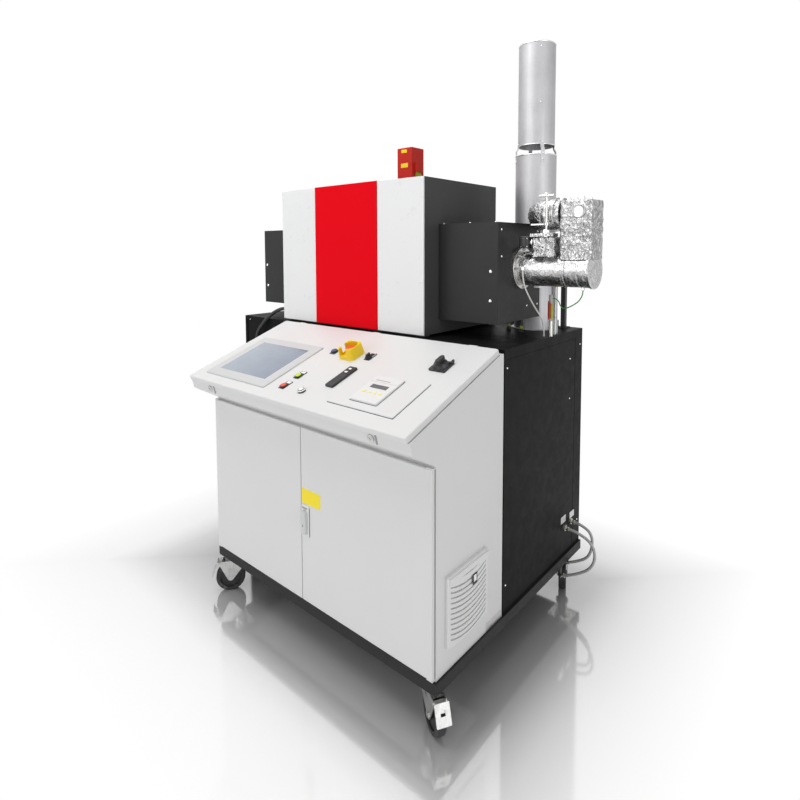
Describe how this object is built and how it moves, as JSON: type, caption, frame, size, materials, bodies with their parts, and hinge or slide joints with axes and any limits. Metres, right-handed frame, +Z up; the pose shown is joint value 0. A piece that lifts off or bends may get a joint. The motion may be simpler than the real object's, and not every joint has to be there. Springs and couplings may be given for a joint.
{
  "type": "tube furnace on a wheeled stand",
  "caption": "Horizontal tube furnace on a wheeled black cabinet, with a sloping control desk in front, foil-wrapped exhaust, chimney and side filter fan.",
  "frame": {"origin": "on the floor, under the middle of the overall box", "axes": "+X to the operator's right, +Y away from the operator, +Z up"},
  "size_m": [1.802, 1.2267, 2.405],
  "materials": {
    "black_paint": "fine-textured black powder coat",
    "grey_paint": "fine-textured light grey powder coat",
    "white_paint": "smooth white coat",
    "red_paint": "smooth red coat",
    "zinc_plated": "zinc-plated steel",
    "stainless": "turned stainless steel",
    "galvanised": "galvanised sheet",
    "foil": "creased aluminium foil wrap",
    "aluminium_profile": "anodised extrusion",
    "brass_fitting": "nickel-plated brass",
    "wheel_rubber": "solid rubber",
    "black_plastic": "matt moulded",
    "grey_plastic": "matt moulded",
    "device_plastic": "matt moulded switchgear",
    "module_grey": "matt moulded",
    "yellow_plastic": "moulded yellow",
    "red_plastic": "moulded red",
    "green_plastic": "moulded lime green",
    "blue_plastic": "moulded blue-grey",
    "screen_glass": "dark display glass",
    "ceramic_fibre": "vacuum-formed fibre board",
    "heater_rod": "silicon carbide rod",
    "ceramic_tube": "dense alumina",
    "hose_grey": "translucent grey hose",
    "cable_black": "corrugated conduit",
    "cable_grey": "grey cable jacket",
    "cable_green": "green and yellow earth wire"
  },
  "bodies": {
    "stand": {"base_frame": "black_paint", "castor_plates": "zinc_plated", "console_shell": "grey_paint", "filter_grille": "grey_plastic", "fan_housing": "black_plastic", "control_gear": "device_plastic", "rear_cabinet": "black_paint", "furnace_casing": "black_paint", "white_panels": "white_paint", "red_panel": "red_paint", "insulation": "ceramic_fibre", "heating_elements": "heater_rod", "work_tube": "ceramic_tube", "end_boxes": "black_paint", "tube_flanges": "stainless", "exhaust_spool": "foil", "valve_box": "foil", "exhaust_duct": "foil", "purge_valve": "foil", "chimney": "galvanised", "support_stand": "aluminium_profile", "ignition_box": "red_paint", "pipe_fittings": "brass_fitting", "hose_supply": "hose_grey", "hose_return": "hose_grey", "conduit": "cable_black", "sensor_cable": "cable_grey", "earth_wire": "cable_green"},
    "door_left": {"door_left": "grey_paint"},
    "door_right": {"door_right": "grey_paint", "handle_plate": "grey_plastic"},
    "swing_handle": {"swing_handle": "grey_plastic"},
    "lid": {"desk_lid": "grey_paint", "hmi_bezel": "black_plastic", "hmi_screen": "screen_glass", "control_bodies": "black_plastic", "operator_module": "black_plastic", "limiter_plate": "white_paint", "limiter_module": "module_grey", "estop_shroud": "yellow_plastic"},
    "lid_lock_left": {"lid_lock_left": "zinc_plated"},
    "lid_lock_right": {"lid_lock_right": "zinc_plated"},
    "estop_button": {"estop_button": "red_plastic"},
    "start_button": {"start_button": "green_plastic"},
    "stop_button": {"stop_button": "red_plastic"},
    "reset_button": {"reset_button": "blue_plastic"},
    "key_switch": {"key_switch": "black_plastic"},
    "main_switch_knob": {"main_switch_knob": "black_plastic"},
    "fan_rotor": {"fan_rotor": "black_plastic"},
    "valve_spindle": {"valve_spindle": "stainless"},
    "castor_fl": {"castor_fork_fl": "zinc_plated"},
    "wheel_fl": {"castor_wheel_fl": "wheel_rubber"},
    "brake_fl": {"castor_brake_fl": "zinc_plated"},
    "castor_fr": {"castor_fork_fr": "zinc_plated"},
    "wheel_fr": {"castor_wheel_fr": "wheel_rubber"},
    "brake_fr": {"castor_brake_fr": "zinc_plated"},
    "castor_rl": {"castor_fork_rl": "zinc_plated"},
    "wheel_rl": {"castor_wheel_rl": "wheel_rubber"},
    "castor_rr": {"castor_fork_rr": "zinc_plated"},
    "wheel_rr": {"castor_wheel_rr": "wheel_rubber"}
  },
  "joints": [
    {"name": "door_left_hinge", "type": "hinge", "parent": "stand", "child": "door_left", "pos_m": [-0.504, -0.4885, 0.5355], "axis": [0, 0, -1], "range_deg": [0, 110]},
    {"name": "door_right_hinge", "type": "hinge", "parent": "stand", "child": "door_right", "pos_m": [0.676, -0.4885, 0.5355], "axis": [0, 0, 1], "range_deg": [0, 110]},
    {"name": "swing_handle_turn", "type": "hinge", "parent": "door_right", "child": "swing_handle", "pos_m": [0.098, -0.499, 0.548], "axis": [0, -1, 0], "range_deg": [0, 90]},
    {"name": "lid_hinge", "type": "hinge", "parent": "stand", "child": "lid", "pos_m": [0.086, -0.09115, 1.16574], "axis": [-1, 0, 0], "range_deg": [0, 65]},
    {"name": "lid_lock_left_turn", "type": "hinge", "parent": "stand", "child": "lid_lock_left", "pos_m": [-0.374, -0.5945, 0.9565], "axis": [0, -0.9624, -0.2715], "range_deg": [0, 90]},
    {"name": "lid_lock_right_turn", "type": "hinge", "parent": "stand", "child": "lid_lock_right", "pos_m": [0.53, -0.5945, 0.9565], "axis": [0, -0.9624, -0.2715], "range_deg": [0, 90]},
    {"name": "estop_press", "type": "slide", "parent": "lid", "child": "estop_button", "axis": [0, 0.3338, -0.9426], "range_m": [0, 0.004], "stiffness_N_per_m": 600, "springref_m": -0.004},
    {"name": "start_press", "type": "slide", "parent": "lid", "child": "start_button", "axis": [0, 0.3338, -0.9426], "range_m": [0, 0.003], "stiffness_N_per_m": 400, "springref_m": -0.003},
    {"name": "stop_press", "type": "slide", "parent": "lid", "child": "stop_button", "axis": [0, 0.3338, -0.9426], "range_m": [0, 0.003], "stiffness_N_per_m": 400, "springref_m": -0.003},
    {"name": "reset_press", "type": "slide", "parent": "lid", "child": "reset_button", "axis": [0, 0.3338, -0.9426], "range_m": [0, 0.003], "stiffness_N_per_m": 400, "springref_m": -0.003},
    {"name": "key_switch_turn", "type": "hinge", "parent": "lid", "child": "key_switch", "pos_m": [0.226, -0.28513, 1.11137], "axis": [0, 0.3338, -0.9426], "range_deg": [0, 90]},
    {"name": "main_switch_turn", "type": "hinge", "parent": "lid", "child": "main_switch_knob", "pos_m": [0.549, -0.2625, 1.11938], "axis": [0, 0.3338, -0.9426], "range_deg": [0, 90]},
    {"name": "fan_spin", "type": "hinge", "parent": "stand", "child": "fan_rotor", "pos_m": [0.646, -0.314, 0.392], "axis": [1, 0, 0], "continuous": true},
    {"name": "valve_spindle_turn", "type": "hinge", "parent": "stand", "child": "valve_spindle", "pos_m": [0.734, 0.136, 1.6], "axis": [0, 0, 1], "range_deg": [0, 90]},
    {"name": "castor_fl_swivel", "type": "hinge", "parent": "stand", "child": "castor_fl", "pos_m": [-0.454, -0.428, 0.135], "axis": [0, 0, 1], "continuous": true},
    {"name": "castor_fl_roll", "type": "hinge", "parent": "castor_fl", "child": "wheel_fl", "pos_m": [-0.4758, -0.45913, 0.0625], "axis": [-0.8192, 0.5736, 0], "continuous": true},
    {"name": "castor_fl_brake", "type": "hinge", "parent": "castor_fl", "child": "brake_fl", "pos_m": [-0.49874, -0.49189, 0.1265], "axis": [0.8192, -0.5736, 0], "range_deg": [0, 14]},
    {"name": "castor_fr_swivel", "type": "hinge", "parent": "stand", "child": "castor_fr", "pos_m": [0.626, -0.428, 0.135], "axis": [0, 0, 1], "continuous": true},
    {"name": "castor_fr_roll", "type": "hinge", "parent": "castor_fr", "child": "wheel_fr", "pos_m": [0.65891, -0.447, 0.0625], "axis": [-0.5, -0.866, 0], "continuous": true},
    {"name": "castor_fr_brake", "type": "hinge", "parent": "castor_fr", "child": "brake_fr", "pos_m": [0.69355, -0.467, 0.1265], "axis": [0.5, 0.866, 0], "range_deg": [0, 14]},
    {"name": "castor_rl_swivel", "type": "hinge", "parent": "stand", "child": "castor_rl", "pos_m": [-0.833, 0.555, 0.135], "axis": [0, 0, 1], "continuous": true},
    {"name": "castor_rl_roll", "type": "hinge", "parent": "castor_rl", "child": "wheel_rl", "pos_m": [-0.846, 0.51929, 0.0625], "axis": [-0.9397, 0.342, 0], "continuous": true},
    {"name": "castor_rr_swivel", "type": "hinge", "parent": "stand", "child": "castor_rr", "pos_m": [0.636, 0.555, 0.135], "axis": [0, 0, 1], "continuous": true},
    {"name": "castor_rr_roll", "type": "hinge", "parent": "castor_rr", "child": "wheel_rr", "pos_m": [0.65085, 0.52002, 0.0625], "axis": [-0.9205, -0.3907, 0], "continuous": true}
  ]
}
